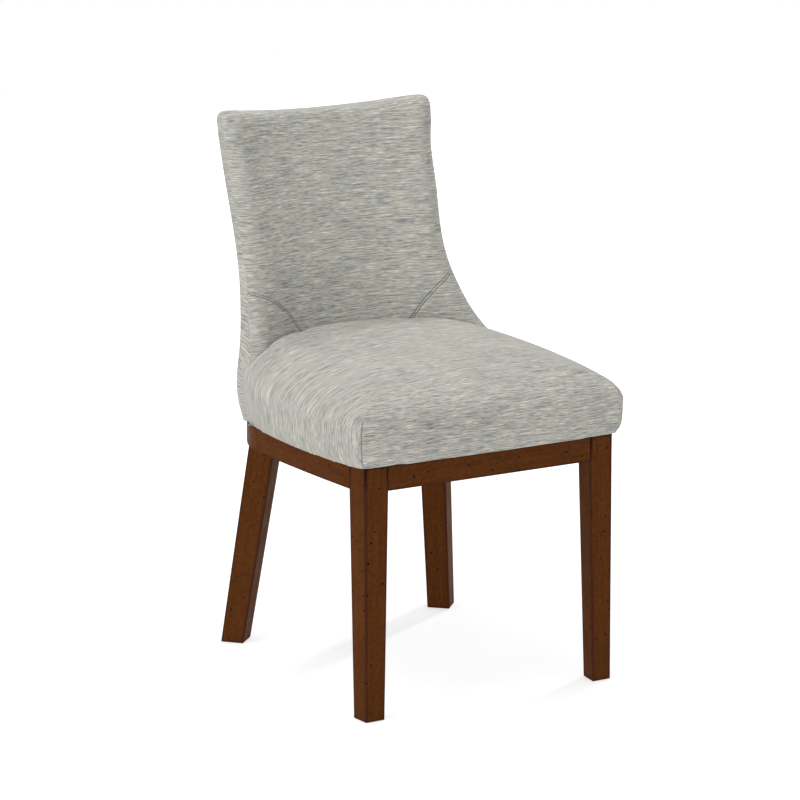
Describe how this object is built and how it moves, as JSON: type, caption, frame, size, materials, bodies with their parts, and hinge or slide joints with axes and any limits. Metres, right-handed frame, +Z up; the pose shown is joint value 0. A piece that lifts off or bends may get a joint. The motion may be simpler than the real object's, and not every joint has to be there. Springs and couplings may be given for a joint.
{
  "type": "upholstered dining chair",
  "caption": "Upholstered side chair with a domed seat, a raked hollow back whose lower corners sweep forward as wings, and a wooden base on square tapered legs.",
  "frame": {"origin": "on the floor under the middle of the chair's bounding box", "axes": "+Z up, the chair faces -Y, +X to the right of someone who looks at its front"},
  "size_m": [0.5186, 0.5982, 0.867],
  "materials": {
    "show_wood": "warm brown stain with darker edges, satin lacquer",
    "plain_wood": "planed, unfinished",
    "cover_cloth": "heathered light grey weave with slub streaks",
    "lining_cloth": "thin black non-woven cloth",
    "padding": "soft flexible foam",
    "webbing": "woven strap",
    "fixings": "zinc plated",
    "glides": "moulded, dark brown"
  },
  "bodies": {
    "root": {"front_leg_left": "show_wood", "front_leg_right": "show_wood", "rear_leg_left": "show_wood", "rear_leg_right": "show_wood", "front_rail": "show_wood", "back_rail": "show_wood", "side_rail_left": "show_wood", "side_rail_right": "show_wood", "corner_block_front_left": "plain_wood", "corner_block_front_right": "plain_wood", "corner_block_rear_left": "plain_wood", "corner_block_rear_right": "plain_wood", "rail_dowels": "plain_wood", "back_dowels": "plain_wood", "seat_board": "plain_wood", "back_post_left": "plain_wood", "back_post_right": "plain_wood", "crest_rail": "plain_wood", "lower_back_rail": "plain_wood", "seat_cover": "cover_cloth", "inside_back_cover": "cover_cloth", "wing_panel_left": "cover_cloth", "wing_panel_right": "cover_cloth", "outside_back_cover": "cover_cloth", "dust_cover": "lining_cloth", "back_lining": "lining_cloth", "seat_foam": "padding", "back_foam": "padding", "back_webbing": "webbing", "block_screws": "fixings", "seat_screws": "fixings", "dust_cover_staples": "fixings", "back_bolts": "fixings", "back_washers": "fixings", "foot_glides": "glides"}
  },
  "joints": []
}
